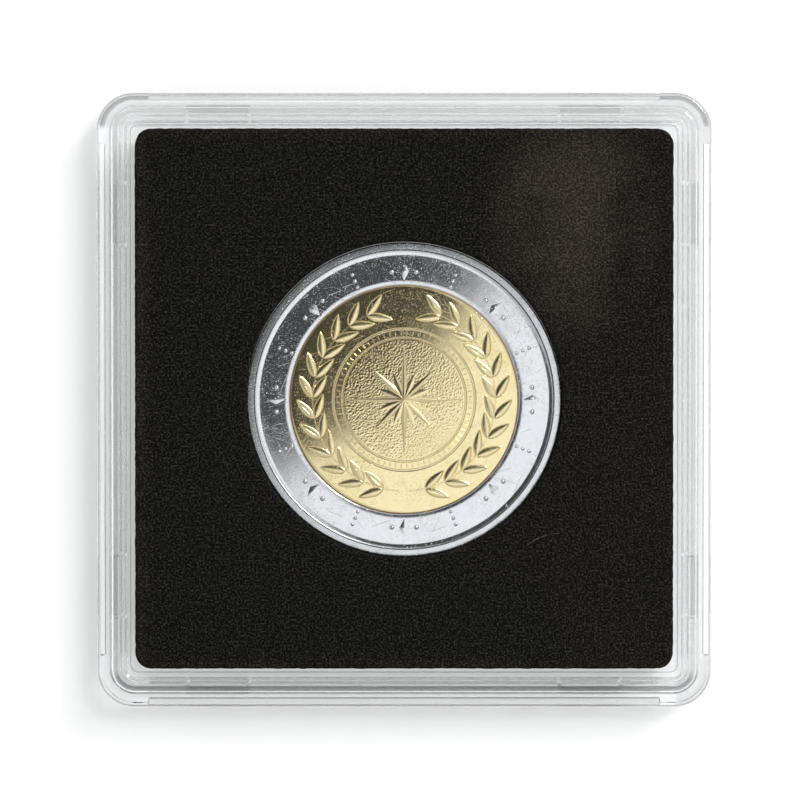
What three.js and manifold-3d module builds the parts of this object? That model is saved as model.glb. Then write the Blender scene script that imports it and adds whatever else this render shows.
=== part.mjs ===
// Square coin capsule: two clear shells that snap together over a foam insert and a two-metal coin.
// Sizes are in millimetres, +Z is up, and the origin is the middle of the face the capsule stands on.
import * as THREE from "three";
import { mergeVertices } from "three/addons/utils/BufferGeometryUtils.js";
import Module from "manifold-3d";

const wasm = await Module();
wasm.setup();

// Outline of the closed capsule
const capsuleSide = 50;
const capsuleCornerRadius = 3;
const smallestCornerRadius = 0.4;
const edgeChamfer = 0.15;

// Base shell: foot ring, pane, outer border with its nail slots, and the wall that stands inside the cover
const footHeight = 0.4;
const footWidth = 0.6;
const basePaneThickness = 1.05;
const borderHeight = 2.15;
const nailSlotDepth = 0.45;
const cornerLugLength = 4;
const wallThickness = 0.55;
const wallChamfer = 0.1;
const wallHeadroom = 0.1;

// Snap tongues, two along each side of the wall, cut free by slits that run a little way into the floor
const tongueWidth = 4.75;
const tongueFromCorner = 9.8;
const slitWidth = 0.3;
const slitReliefLength = 0.7;
const slitReliefDepth = 0.2;

// Ridges on the tongues, and the grooves in the skirt that take them
const ridgeReach = 0.1;
const ridgeHeight = 0.4;
const ridgeTipHeight = 0.15;
const ridgeBelowPane = 0.75;
const grooveClearance = 0.06;

// Cover shell: pane, skirt and the raised rim that the foot ring of the next capsule drops into
const coverPaneThickness = 1.2;
const skirtThickness = 1.1;
const skirtGap = 0.15;
const seamGap = 0.05;
const rimWidth = 2.35;
const rimHeight = 0.4;
const stackClearance = 0.1;

// Foam insert, and the shallow seat in the base pane that centres it
const insertMargin = 1.2;
const insertCornerRadius = 1.3;
const insertThickness = 3.1;
const insertHeadroom = 0.1;
const seatDepth = 0.2;
const seatClearance = 0.05;

// Coin: an outer ring and the core pressed into it, each with a flat field below the coin's rim
const coinDiameter = 25.75;
const coinThickness = 2.2;
const coinClearance = 0.125;
const coinEdgeChamfer = 0.12;
const coinRimWidth = 0.6;
const coinRimSlope = 0.7;
const ringWidth = 3.5;
const bimetalGap = 0.02;
const fieldDepth = 0.16;
const reliefBelowRim = 0.04;
const reliefRoot = 0.3;

// Wind rose in the middle of the core, drawn to its own radius by these shares of it
const roseMargin = 3.2;
const roseTips = 4;
const shortTipShare = 0.7;
const longNotchShare = 0.19;
const shortNotchShare = 0.42;
const bossShare = 0.11;

// Laurel branches round the rose: paired leaves on a thin stem, open at the top and the bottom
const leafEdgeMargin = 0.45;
const leafPairs = 9;
const leafLength = 1.75;
const leafWidth = 0.66;
const leafShoulder = 0.15;
const leafLean = 30;
const stemWidth = 0.16;
const branchStart = 9;
const branchEnd = 158;

// Marks on the ring's field: a lozenge with a bead at each side
const markCount = 8;
const markFill = 0.5;
const lozengeWidth = 0.6;
const markBeadRadius = 0.2;
const markBeadPitch = 0.85;

// Smoothness of the round shapes, and how far a cutter runs past what it cuts
const cornerSteps = 8;
const circleSteps = 72;
const stemSteps = 12;
const bossSteps = 16;
const beadSteps = 6;
const cutMargin = 1;

// Heights, from the face the capsule stands on
const insertBottom = footHeight + basePaneThickness;
const floorTop = insertBottom + seatDepth;
const seamHeight = footHeight + borderHeight;
const skirtBottom = seamHeight + seamGap;
const contentsHeight = Math.max(insertThickness, coinThickness);
const coverPaneBottom = insertBottom + contentsHeight + insertHeadroom;
const coverPaneTop = coverPaneBottom + coverPaneThickness;
const capsuleTop = coverPaneTop + rimHeight;
const wallTop = coverPaneBottom - wallHeadroom;
const ridgeMiddle = coverPaneBottom - ridgeBelowPane;

// Distances in from the capsule's outline, and along its sides
const halfSide = capsuleSide / 2;
const wallInset = skirtThickness + skirtGap;
const chamberInset = wallInset + wallThickness;
const insertInset = chamberInset + insertMargin;
const footInset = rimWidth + stackClearance;
const insertSide = capsuleSide - 2 * insertInset;
const nailSlotLength = capsuleSide - 2 * cornerLugLength;
const tongueCentre = halfSide - tongueFromCorner;
const slitFromTongueCentre = (tongueWidth + slitWidth) / 2;

// Across the coin
const coinRadius = coinDiameter / 2;
const coreRadius = coinRadius - ringWidth;
const rimInnerRadius = coinRadius - coinRimWidth;
const fieldOuterRadius = rimInnerRadius - coinRimSlope;
const fieldWidth = fieldOuterRadius - coreRadius;
const coinFieldTop = coinThickness - fieldDepth;
const reliefHeight = fieldDepth - reliefBelowRim;

const quarterTurn = Math.PI / 2;
const halfTurnDegrees = 180;
const quarterTurnDegrees = 90;

// A closed geometry as a solid that can be joined and cut
function solid(geometry) {
  geometry.deleteAttribute("normal");
  geometry.deleteAttribute("uv");
  const merged = mergeVertices(geometry);
  const mesh = new wasm.Mesh({
    numProp: 3,
    vertProperties: new Float32Array(merged.attributes.position.array),
    triVerts: new Uint32Array(merged.index.array),
  });
  return new wasm.Manifold(mesh);
}

function joined(first, ...others) {
  return others.reduce((whole, next) => whole.add(next), first);
}

function geometryOf(body) {
  const mesh = body.getMesh();
  const geometry = new THREE.BufferGeometry();
  geometry.setAttribute("position", new THREE.BufferAttribute(mesh.vertProperties, 3));
  geometry.setIndex(new THREE.BufferAttribute(mesh.triVerts, 1));
  geometry.computeVertexNormals();
  return geometry;
}

function turnedBy(body, degrees) {
  return body.rotate([0, 0, degrees]);
}

// A square with rounded corners, centred on the origin
function roundedSquare(side, radius) {
  const corner = side / 2 - radius;
  const shape = new THREE.Shape();
  shape.absarc(corner, corner, radius, 0, quarterTurn);
  shape.absarc(-corner, corner, radius, quarterTurn, 2 * quarterTurn);
  shape.absarc(-corner, -corner, radius, 2 * quarterTurn, 3 * quarterTurn);
  shape.absarc(corner, -corner, radius, 3 * quarterTurn, 4 * quarterTurn);
  return shape;
}

// A flat plate of that outline between two heights, with both its edges chamfered if a chamfer is given
function squarePlate(side, radius, bottom, top, chamfer = 0) {
  const geometry = new THREE.ExtrudeGeometry(roundedSquare(side, radius), {
    depth: top - bottom - 2 * chamfer,
    curveSegments: cornerSteps,
    bevelEnabled: chamfer > 0,
    bevelSegments: 1,
    bevelThickness: chamfer,
    bevelSize: chamfer,
    bevelOffset: -chamfer,
  });
  return solid(geometry.translate(0, 0, bottom + chamfer));
}

// The plate whose outline lies a given distance inside the capsule's own
function insetPlate(inset, bottom, top, chamfer = 0) {
  const radius = Math.max(capsuleCornerRadius - inset, smallestCornerRadius);
  return squarePlate(capsuleSide - 2 * inset, radius, bottom, top, chamfer);
}

function block(sizeX, sizeY, sizeZ, middleX, middleY, middleZ) {
  return solid(new THREE.BoxGeometry(sizeX, sizeY, sizeZ).translate(middleX, middleY, middleZ));
}

// An upright round bar from its lower end up
function roundBar(radius, bottom, height, steps) {
  const geometry = new THREE.CylinderGeometry(radius, radius, height, steps);
  geometry.rotateX(quarterTurn);
  return solid(geometry.translate(0, 0, bottom + height / 2));
}

// A body made at the front side, on all four sides
function onEverySide(body) {
  const others = [1, 2, 3].map((quarter) => turnedBy(body, quarterTurnDegrees * quarter));
  return joined(body, ...others);
}

// Two copies of a body, moved the same distance each way along X
function onBothHands(body, distance) {
  return body.translate([-distance, 0, 0]).add(body.translate([distance, 0, 0]));
}

// A bar along X on the wall's outer face, its section narrowing from the wall to its tip
function barOnWall(length, reach, rootHeight, tipHeight) {
  const rootDepth = wallThickness / 2;
  const section = new THREE.Shape();
  section.moveTo(rootDepth, rootHeight / 2);
  section.lineTo(0, rootHeight / 2);
  section.lineTo(-reach, tipHeight / 2);
  section.lineTo(-reach, -tipHeight / 2);
  section.lineTo(0, -rootHeight / 2);
  section.lineTo(rootDepth, -rootHeight / 2);
  section.closePath();
  const bar = new THREE.ExtrudeGeometry(section, { depth: length, bevelEnabled: false });
  bar.translate(0, 0, -length / 2).rotateX(quarterTurn).rotateZ(quarterTurn);
  return solid(bar.translate(0, wallInset - halfSide, ridgeMiddle));
}

function snapRidges() {
  const ridge = barOnWall(tongueWidth, ridgeReach, ridgeHeight, ridgeTipHeight);
  return onEverySide(onBothHands(ridge, tongueCentre));
}

function snapGrooves() {
  const length = tongueWidth + 2 * slitWidth;
  const reach = skirtGap + ridgeReach;
  const spread = 2 * grooveClearance;
  const groove = barOnWall(length, reach, ridgeHeight + spread, ridgeTipHeight + spread);
  return onEverySide(onBothHands(groove, tongueCentre));
}

// The slits at both ends of each tongue, and a shallow relief in the floor in front of each slit
function tongueSlits() {
  const slitDepth = wallThickness + 2 * ridgeReach;
  const slitHeight = wallTop + cutMargin - seamHeight;
  const slitY = wallInset + wallThickness / 2 - halfSide;
  const slit = block(slitWidth, slitDepth, slitHeight, 0, slitY, seamHeight + slitHeight / 2);
  const reliefTop = floorTop + cutMargin;
  const reliefSpan = cutMargin + slitReliefDepth;
  const reliefY = chamberInset + slitReliefLength / 2 - halfSide;
  const relief = block(slitWidth, slitReliefLength, reliefSpan, 0, reliefY, reliefTop - reliefSpan / 2);
  const cut = onBothHands(slit.add(relief), slitFromTongueCentre);
  return onEverySide(onBothHands(cut, tongueCentre));
}

// The slots that set the border's sides back, so that a nail gets under the cover's edge
function nailSlots() {
  const depth = nailSlotDepth + cutMargin;
  const height = borderHeight + 2 * cutMargin;
  const middleY = nailSlotDepth - depth / 2 - halfSide;
  return onEverySide(block(nailSlotLength, depth, height, 0, middleY, footHeight + borderHeight / 2));
}

function footRing() {
  const opening = insetPlate(footInset + footWidth, -cutMargin, insertBottom + cutMargin);
  return insetPlate(footInset, 0, insertBottom).subtract(opening);
}

function baseShell() {
  const border = insetPlate(0, footHeight, seamHeight, edgeChamfer).subtract(nailSlots());
  const wall = insetPlate(wallInset, footHeight, wallTop, wallChamfer);
  const chamber = insetPlate(chamberInset, floorTop, wallTop + cutMargin);
  const seatSide = insertSide + 2 * seatClearance;
  const seat = squarePlate(seatSide, insertCornerRadius + seatClearance, insertBottom, floorTop + cutMargin);
  const whole = joined(border, wall, snapRidges()).subtract(chamber).subtract(seat);
  return whole.subtract(tongueSlits()).add(footRing());
}

function coverShell() {
  const whole = insetPlate(0, skirtBottom, capsuleTop, edgeChamfer);
  const window = insetPlate(rimWidth, coverPaneTop, capsuleTop + cutMargin);
  const chamber = insetPlate(skirtThickness, skirtBottom - cutMargin, coverPaneBottom);
  return whole.subtract(window).subtract(chamber).subtract(snapGrooves());
}

function foamInsert() {
  const pad = squarePlate(insertSide, insertCornerRadius, insertBottom, insertBottom + insertThickness);
  const holeHeight = insertThickness + 2 * cutMargin;
  const hole = roundBar(coinRadius + coinClearance, insertBottom - cutMargin, holeHeight, circleSteps);
  return pad.subtract(hole);
}

// A body of revolution about Z, from [radius, height] corners
function turned(corners) {
  const points = corners.map(([radius, height]) => new THREE.Vector2(radius, height));
  return solid(new THREE.LatheGeometry(points, circleSteps).rotateX(quarterTurn));
}

// A faceted hill that rises from a closed outline to a peak in its middle, its root sunk in the metal below
function hill(outline) {
  const count = outline.length;
  const peak = 2 * count;
  const underside = peak + 1;
  const corners = [];
  for (const level of [0, -reliefRoot]) {
    outline.forEach(([x, y]) => corners.push(x, y, level));
  }
  corners.push(0, 0, reliefHeight);
  corners.push(0, 0, -reliefRoot);
  const faces = [];
  for (let here = 0; here < count; here += 1) {
    const next = (here + 1) % count;
    faces.push(here, next, peak);
    faces.push(here, count + here, count + next);
    faces.push(here, count + next, next);
    faces.push(count + next, count + here, underside);
  }
  const geometry = new THREE.BufferGeometry();
  geometry.setAttribute("position", new THREE.Float32BufferAttribute(corners, 3));
  geometry.setIndex(faces);
  return solid(geometry);
}

// A star's outline, out to each tip and back to each notch
function starOutline(tipRadius, notchRadius) {
  const outline = [];
  for (let i = 0; i < 2 * roseTips; i += 1) {
    const radius = i % 2 === 0 ? tipRadius : notchRadius;
    const angle = (Math.PI * i) / roseTips;
    outline.push([radius * Math.cos(angle), radius * Math.sin(angle)]);
  }
  return outline;
}

// A kite's outline along X, its widest place a little behind or before its middle
function kiteOutline(length, width, shoulder) {
  return [
    [length / 2, 0],
    [-shoulder * length, width / 2],
    [-length / 2, 0],
    [-shoulder * length, -width / 2],
  ];
}

function windRose() {
  const radius = coreRadius - roseMargin;
  const shortRadius = radius * shortTipShare;
  const long = hill(starOutline(radius, radius * longNotchShare));
  const short = hill(starOutline(shortRadius, shortRadius * shortNotchShare));
  const boss = roundBar(radius * bossShare, -reliefRoot, reliefRoot + reliefHeight, bossSteps);
  return joined(long, turnedBy(short, halfTurnDegrees / roseTips), boss);
}

// The radius of the branches' stems, which leaves the leaf tips their margin to the core's edge
function stemRadius() {
  const lean = THREE.MathUtils.degToRad(leafLean);
  const leafReach = leafLength * Math.sin(lean) + leafWidth / 2;
  return coreRadius - leafEdgeMargin - leafReach;
}

// The arc of one stem, from its lower end up the right-hand side
function stem() {
  const start = THREE.MathUtils.degToRad(branchStart - quarterTurnDegrees);
  const end = THREE.MathUtils.degToRad(branchEnd - quarterTurnDegrees);
  const arc = new THREE.Shape();
  arc.absarc(0, 0, stemRadius() + stemWidth / 2, start, end, false);
  arc.absarc(0, 0, stemRadius() - stemWidth / 2, end, start, true);
  const depth = reliefRoot + reliefHeight / 2;
  const geometry = new THREE.ExtrudeGeometry(arc, { depth, bevelEnabled: false, curveSegments: stemSteps });
  return solid(geometry.translate(0, 0, -reliefRoot));
}

// One branch up the right-hand side: its stem, and a pair of leaves at each step along it
function laurelBranch() {
  const leaf = hill(kiteOutline(leafLength, leafWidth, leafShoulder)).translate([leafLength / 2, 0, 0]);
  const step = (branchEnd - branchStart) / leafPairs;
  let branch = stem();
  for (let i = 0; i < leafPairs; i += 1) {
    const place = branchStart + step * (i + 1 / 2) - quarterTurnDegrees;
    for (const lean of [-leafLean, leafLean]) {
      const leaning = turnedBy(leaf, quarterTurnDegrees + lean).translate([stemRadius(), 0, 0]);
      branch = branch.add(turnedBy(leaning, place));
    }
  }
  return branch;
}

function laurelBranches() {
  const branch = laurelBranch();
  return branch.add(branch.mirror([1, 0, 0]));
}

// One lozenge along X and the bead at each side of it, in the middle of the ring's field
function ringMark() {
  const radius = coreRadius + fieldWidth / 2;
  const lozenge = hill(kiteOutline(markFill * fieldWidth, lozengeWidth, 0)).translate([radius, 0, 0]);
  const ball = solid(new THREE.SphereGeometry(markBeadRadius, beadSteps, beadSteps).rotateX(quarterTurn));
  const bead = ball.translate([radius, 0, reliefHeight - markBeadRadius]);
  const beadTurn = THREE.MathUtils.radToDeg(markBeadPitch / radius);
  return joined(lozenge, turnedBy(bead, beadTurn), turnedBy(bead, -beadTurn));
}

function ringMarks() {
  const mark = ringMark();
  const turn = (2 * halfTurnDegrees) / markCount;
  const marks = Array.from({ length: markCount }, (_, i) => turnedBy(mark, turn * i));
  return joined(...marks);
}

// The coin's blank with a relief on its upper face, and the same turned over on its lower face
function struck(blank, relief) {
  const upper = relief.translate([0, 0, coinFieldTop]);
  const lower = upper.rotate([halfTurnDegrees, 0, 0]).translate([0, 0, coinThickness]);
  return joined(blank, upper, lower).translate([0, 0, insertBottom]);
}

function coinRing() {
  const innerRadius = coreRadius + bimetalGap;
  const blank = turned([
    [innerRadius, fieldDepth],
    [fieldOuterRadius, fieldDepth],
    [rimInnerRadius, 0],
    [coinRadius - coinEdgeChamfer, 0],
    [coinRadius, coinEdgeChamfer],
    [coinRadius, coinThickness - coinEdgeChamfer],
    [coinRadius - coinEdgeChamfer, coinThickness],
    [rimInnerRadius, coinThickness],
    [fieldOuterRadius, coinFieldTop],
    [innerRadius, coinFieldTop],
    [innerRadius, fieldDepth],
  ]);
  return struck(blank, ringMarks());
}

function coinCore() {
  const blank = roundBar(coreRadius, fieldDepth, coinFieldTop - fieldDepth, circleSteps);
  return struck(blank, windRose().add(laurelBranches()));
}

// Finishes
const clearPlastic = new THREE.MeshStandardMaterial({
  color: 0xe6e9ec,
  roughness: 0.06,
  metalness: 0,
  transparent: true,
  opacity: 0.3,
});
const blackFoam = new THREE.MeshStandardMaterial({ color: 0x1f1d1a, roughness: 0.95, metalness: 0 });
const paleNickel = new THREE.MeshStandardMaterial({ color: 0xc6c9cf, roughness: 0.25, metalness: 1 });
const goldBrass = new THREE.MeshStandardMaterial({ color: 0xcbb06a, roughness: 0.25, metalness: 1 });

function named(name, body, material) {
  const mesh = new THREE.Mesh(geometryOf(body), material);
  mesh.name = name;
  return mesh;
}

const capsule = new THREE.Group();
capsule.add(
  named("base_shell", baseShell(), clearPlastic),
  named("foam_insert", foamInsert(), blackFoam),
  named("coin_ring", coinRing(), paleNickel),
  named("coin_core", coinCore(), goldBrass),
  named("cover_shell", coverShell(), clearPlastic),
);

export default capsule;
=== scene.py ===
import math

import bmesh
import bpy
from mathutils import Matrix, Vector, noise


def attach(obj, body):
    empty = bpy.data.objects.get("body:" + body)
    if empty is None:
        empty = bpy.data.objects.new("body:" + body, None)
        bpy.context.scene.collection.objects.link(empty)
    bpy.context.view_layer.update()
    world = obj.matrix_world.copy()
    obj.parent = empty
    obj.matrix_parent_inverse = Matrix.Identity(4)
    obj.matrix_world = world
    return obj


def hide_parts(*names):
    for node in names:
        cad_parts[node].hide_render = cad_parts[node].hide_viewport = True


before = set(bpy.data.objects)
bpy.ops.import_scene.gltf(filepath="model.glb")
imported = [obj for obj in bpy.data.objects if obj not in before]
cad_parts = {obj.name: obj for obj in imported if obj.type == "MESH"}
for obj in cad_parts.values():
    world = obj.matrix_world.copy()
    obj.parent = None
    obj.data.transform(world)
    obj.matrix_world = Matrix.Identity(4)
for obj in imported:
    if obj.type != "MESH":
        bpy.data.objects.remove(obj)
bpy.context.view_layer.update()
print("frame loaded:", sorted(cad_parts))

mm = 0.001
turn = 2 * math.pi


# selecting and editing
def choose(piece):
    if bpy.context.mode != "OBJECT":
        bpy.ops.object.mode_set(mode="OBJECT")
    bpy.ops.object.select_all(action="DESELECT")
    piece.select_set(True)
    bpy.context.view_layer.objects.active = piece


def newPiece(name):  # names the primitive that was just added and puts its place in its mesh
    piece = bpy.context.object
    piece.name = piece.data.name = name
    choose(piece)
    bpy.ops.object.transform_apply(location=True, rotation=True, scale=True)
    return piece


def openEdit(piece, kind="FACE"):
    choose(piece)
    bpy.ops.object.mode_set(mode="EDIT")
    bpy.ops.mesh.select_mode(type=kind)
    bpy.ops.mesh.select_all(action="DESELECT")


def closeEdit():
    bpy.ops.object.mode_set(mode="OBJECT")


def pickFaces(piece, isWanted):
    bpy.ops.mesh.select_all(action="DESELECT")
    mesh = bmesh.from_edit_mesh(piece.data)
    mesh.normal_update()
    for face in mesh.faces:
        face.select_set(isWanted(face.calc_center_median(), face.normal))
    bmesh.update_edit_mesh(piece.data)


def pickEdges(piece, isWanted):
    bpy.ops.mesh.select_all(action="DESELECT")
    mesh = bmesh.from_edit_mesh(piece.data)
    for edge in mesh.edges:
        ends = edge.verts[0].co, edge.verts[1].co
        edge.select_set(isWanted((ends[0] + ends[1]) / 2, (ends[1] - ends[0]).normalized()))
    bmesh.update_edit_mesh(piece.data)


def raiseFaces(rise):
    bpy.ops.mesh.extrude_region_move(TRANSFORM_OT_translate={"value": (0, 0, rise)})


def applyModifier(piece, kind, **settings):
    modifier = piece.modifiers.new(kind.lower(), kind)
    for name, value in settings.items():
        setattr(modifier, name, value)
    choose(piece)
    bpy.ops.object.modifier_apply(modifier=modifier.name)


def combine(piece, other, operation):
    applyModifier(piece, "BOOLEAN", object=other, operation=operation, solver="EXACT")
    bpy.data.objects.remove(other)


def placedCopy(piece, place):
    twin = piece.copy()
    twin.data = piece.data.copy()
    twin.data.transform(place)
    bpy.context.scene.collection.objects.link(twin)
    return twin


def combineTriangles(piece, other, operation):  # for bent faces, which only stay closed as triangles
    applyModifier(piece, "TRIANGULATE")
    applyModifier(other, "TRIANGULATE")
    combine(piece, other, operation)


def sortMesh(piece):  # a boolean gives its points and faces in an order that varies from run to run
    mesh = piece.data
    spots = [tuple(vertex.co) for vertex in mesh.vertices]
    order = sorted(range(len(spots)), key=lambda index: spots[index])
    ranks = {index: rank for rank, index in enumerate(order)}
    faces = []
    for face in mesh.polygons:
        corners = [ranks[index] for index in face.vertices]
        first = corners.index(min(corners))
        faces.append(corners[first:] + corners[:first])
    mesh.clear_geometry()
    mesh.from_pydata([spots[index] for index in order], [], sorted(faces))


def unite(first, others):
    for other in others:
        combineTriangles(first, other, "UNION")
        sortMesh(first)
    return first


def joinPieces(pieces, name):
    choose(pieces[0])
    for piece in pieces:
        piece.select_set(True)
    bpy.ops.object.join()
    whole = bpy.context.object
    whole.name = whole.data.name = name
    return whole


def tidyMesh(piece, distance=0.002 * mm, fill=False):
    openEdit(piece)
    bpy.ops.mesh.select_all(action="SELECT")
    bpy.ops.mesh.remove_doubles(threshold=distance)
    if fill:
        bpy.ops.mesh.fill_holes(sides=4)
    bpy.ops.mesh.normals_make_consistent(inside=False)
    closeEdit()


def smooth(piece, degrees):
    choose(piece)
    bpy.ops.object.shade_smooth_by_angle(angle=math.radians(degrees))


# node materials
class Socket:  # an output; sums and products on it add Math nodes
    def __init__(self, finish, node, output):
        self.finish, self.node, self.output = finish, node, output

    def out(self, name):
        return Socket(self.finish, self.node, self.node.outputs[name])

    def maths(self, operation, *values):
        return self.finish.node("Math", {"operation": operation}, dict(enumerate(values)))

    def __add__(self, other):
        return self.maths("ADD", self, other)

    def __radd__(self, other):
        return self.maths("ADD", other, self)

    def __sub__(self, other):
        return self.maths("SUBTRACT", self, other)

    def __rsub__(self, other):
        return self.maths("SUBTRACT", other, self)

    def __mul__(self, other):
        return self.maths("MULTIPLY", self, other)

    def __rmul__(self, other):
        return self.maths("MULTIPLY", other, self)

    def __truediv__(self, other):
        return self.maths("DIVIDE", self, other)

    def __pow__(self, other):
        return self.maths("POWER", self, other)

    def atLeast(self, other):
        return self.maths("MAXIMUM", self, other)

    def atMost(self, other):
        return self.maths("MINIMUM", self, other)

    def absolute(self):
        return self.maths("ABSOLUTE", self)


class Finish:
    def __init__(self, tree):
        self.tree = tree
        tree.nodes.clear()

    def node(self, kind, settings=None, sockets=None, output=0):
        made = self.tree.nodes.new("ShaderNode" + kind)
        for name, value in (settings or {}).items():
            setattr(made, name, value)
        for name, value in (sockets or {}).items():
            if isinstance(value, Socket):
                self.tree.links.new(value.output, made.inputs[name])
            else:
                made.inputs[name].default_value = value
        return Socket(self, made, made.outputs[output] if made.outputs else None)

    def between(self, value, low, high, start=0.0, end=1.0):  # a smooth step from start at low to end at high
        settings = {"interpolation_type": "SMOOTHSTEP"}
        return self.node("MapRange", settings, {"Value": value, 1: low, 2: high, 3: start, 4: end})

    def band(self, value, half, fade):  # 1 within half of zero, fading to 0 over the fade
        return self.between(value.absolute(), half + fade, half)

    def blend(self, share, first, second):  # two colours
        return self.node("Mix", {"data_type": "RGBA"}, {0: share, 6: first, 7: second}, 2)

    def place(self):
        return self.node("TexCoord", None, None, "Object")

    def farther(self, x, y):  # the larger of the two distances from the middle
        return x.absolute().atLeast(y.absolute())

    def turned(self, vector, angle, across, along):  # turned first, then drawn out, for marks that run one way
        sockets = {"Vector": vector, "Rotation": (0, 0, angle), "Scale": (1 / across, 1 / along, 1)}
        return self.node("Mapping", {"vector_type": "TEXTURE"}, sockets)

    def grain(self, vector, scale, detail=2.0, roughness=0.5):
        sockets = {"Vector": vector, "Scale": scale, "Detail": detail, "Roughness": roughness}
        return self.node("TexNoise", None, sockets)

    def bump(self, height, strength, distance, under=None):
        sockets = {"Height": height, "Strength": strength, "Distance": distance}
        if under is not None:
            sockets["Normal"] = under
        return self.node("Bump", None, sockets)

    def finishWith(self, surface, kind="OutputMaterial"):
        self.node(kind, None, {"Surface": surface})


def newMaterial(name):
    material = bpy.data.materials.new(name)
    material.use_nodes = True
    return material, Finish(material.node_tree)


def dress(piece, material):
    piece.data.materials.clear()
    piece.data.materials.append(material)


# capsule shells
capsule = {
    "side": 50 * mm, "cornerRadius": 3 * mm, "cornerSteps": 12, "edgeRounding": 0.12 * mm, "edgeSteps": 3,
    "outerRounding": 0.34 * mm, "outerSteps": 6, "seamRounding": 0.14 * mm,
    "skirtRootRounding": 0.3 * mm, "wallTopRounding": 0.19 * mm, "wallRootRounding": 0.25 * mm,
    "footHeight": 0.4 * mm, "footWidth": 0.6 * mm, "footInset": 2.45 * mm, "footRadius": 0.55 * mm,
    "footSteps": 6, "openingRadius": 0.4 * mm,
    "seatBottom": 1.45 * mm, "seatSide": 44.1 * mm, "seatRadius": 1.35 * mm, "seatSteps": 8,
    "floorTop": 1.65 * mm, "seamHeight": 2.55 * mm,
    "nailSlotDepth": 0.45 * mm, "nailSlotLength": 42 * mm,
    "wallInset": 1.25 * mm, "wallThickness": 0.55 * mm, "wallTop": 4.55 * mm,
    "skirtBottom": 2.6 * mm, "skirtThickness": 1.1 * mm, "rimWidth": 2.35 * mm,
    "paneBottom": 4.65 * mm, "paneTop": 5.85 * mm, "top": 6.25 * mm,
    "tongueWidth": 4.75 * mm, "tongueMiddle": 15.2 * mm, "slitWidth": 0.3 * mm,
    "slitReliefLength": 0.7 * mm, "slitReliefDepth": 0.2 * mm, "slitReliefOverlap": 0.12 * mm,
    "slitReliefNarrowing": 0.03 * mm, "slitOverlap": 0.2 * mm, "slitLift": 0.01 * mm,
    "ridgeMiddle": 3.9 * mm, "ridgeReach": 0.1 * mm, "ridgeHeight": 0.4 * mm, "ridgeTipShare": 0.4,
    "grooveReach": 0.25 * mm, "grooveSlack": 0.12 * mm, "cutMargin": 1 * mm,
}


def squarePlate(name, side, radius, bottom, top, steps):
    middle = (0, 0, (bottom + top) / 2)
    bpy.ops.mesh.primitive_cube_add(size=1, location=middle, scale=(side, side, top - bottom))
    plate = newPiece(name)
    openEdit(plate, "EDGE")
    pickEdges(plate, lambda middle, along: abs(along.z) > 0.99)
    bpy.ops.mesh.bevel(offset_type="OFFSET", offset=radius, segments=steps, profile=0.5, affect="EDGES")
    closeEdit()
    return plate


def blockAt(name, size, middle):
    bpy.ops.mesh.primitive_cube_add(size=1, location=middle, scale=size)
    return newPiece(name)


def onEverySide(makePiece, name):  # what is made at the front side, turned to all four
    quarters = []
    for quarter in range(4):
        front = makePiece()
        front.data.transform(Matrix.Rotation(quarter * turn / 4, 4, "Z"))
        quarters.append(front)
    return joinPieces(quarters, name)


def tongueBars(reach, width, height):  # a bar on each tongue of the front side, thinner at its tip
    half = capsule["side"] / 2
    bars = []
    for hand in (-1, 1):
        root = capsule["wallThickness"] / 2
        middleY = capsule["wallInset"] + (root - reach) / 2 - half
        size = (width, root + reach, height)
        bar = blockAt("bar", size, (hand * capsule["tongueMiddle"], middleY, capsule["ridgeMiddle"]))
        openEdit(bar)
        pickFaces(bar, lambda middle, normal: normal.y < -0.9)
        place = (0, middleY, capsule["ridgeMiddle"])
        bpy.ops.transform.resize(value=(1, 1, capsule["ridgeTipShare"]), center_override=place)
        closeEdit()
        bars.append(bar)
    return joinPieces(bars, "bars")


# the cuts at both ends of the front side's tongues: through the wall, or their relief in the floor
def tongueSlits(part):
    c = capsule
    half = c["side"] / 2
    top = c["wallTop"] + c["cutMargin"]
    near, far = c["wallInset"] - c["slitOverlap"], c["wallInset"] + c["wallThickness"]
    if part == "wall":
        far, bottom, width = far + c["slitOverlap"], c["seamHeight"] + c["slitLift"], c["slitWidth"]
    else:
        near, far = far - c["slitReliefOverlap"], far + c["slitReliefLength"]
        bottom, width = c["floorTop"] - c["slitReliefDepth"], c["slitWidth"] - c["slitReliefNarrowing"]
    depth, middleY = far - near, (near + far) / 2 - half
    cuts = []
    for hand in (-1, 1):
        for end in (-1, 1):
            x = hand * c["tongueMiddle"] + end * (c["tongueWidth"] + c["slitWidth"]) / 2
            cuts.append(blockAt("cut", (width, depth, top - bottom), (x, middleY, (bottom + top) / 2)))
    return joinPieces(cuts, "cuts")


def nailSlot():
    half = capsule["side"] / 2
    depth = capsule["nailSlotDepth"] + capsule["cutMargin"]
    height = capsule["seamHeight"] + 2 * capsule["cutMargin"]
    middleY = capsule["nailSlotDepth"] - depth / 2 - half
    return blockAt("slot", (capsule["nailSlotLength"], depth, height), (0, middleY, capsule["seamHeight"] / 2))


def insetOf(spot):  # how far in from the capsule's outline
    flat = capsule["side"] / 2 - capsule["cornerRadius"]
    x, y = abs(spot.x) - flat, abs(spot.y) - flat
    return capsule["cornerRadius"] - (math.hypot(x, y) if x > 0 and y > 0 else max(x, y))


def roundLoop(piece, inset, height, width, steps):  # rounds the loop of edges that lies at one inset and height
    openEdit(piece, "EDGE")
    near = 0.03 * mm
    pickEdges(piece, lambda middle, along: abs(along.z) < 0.1 and abs(middle.z - height) < near
              and abs(insetOf(middle) - inset) < near)
    bpy.ops.mesh.bevel(offset_type="OFFSET", offset=width, segments=steps, profile=0.5, affect="EDGES")
    closeEdit()


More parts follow.
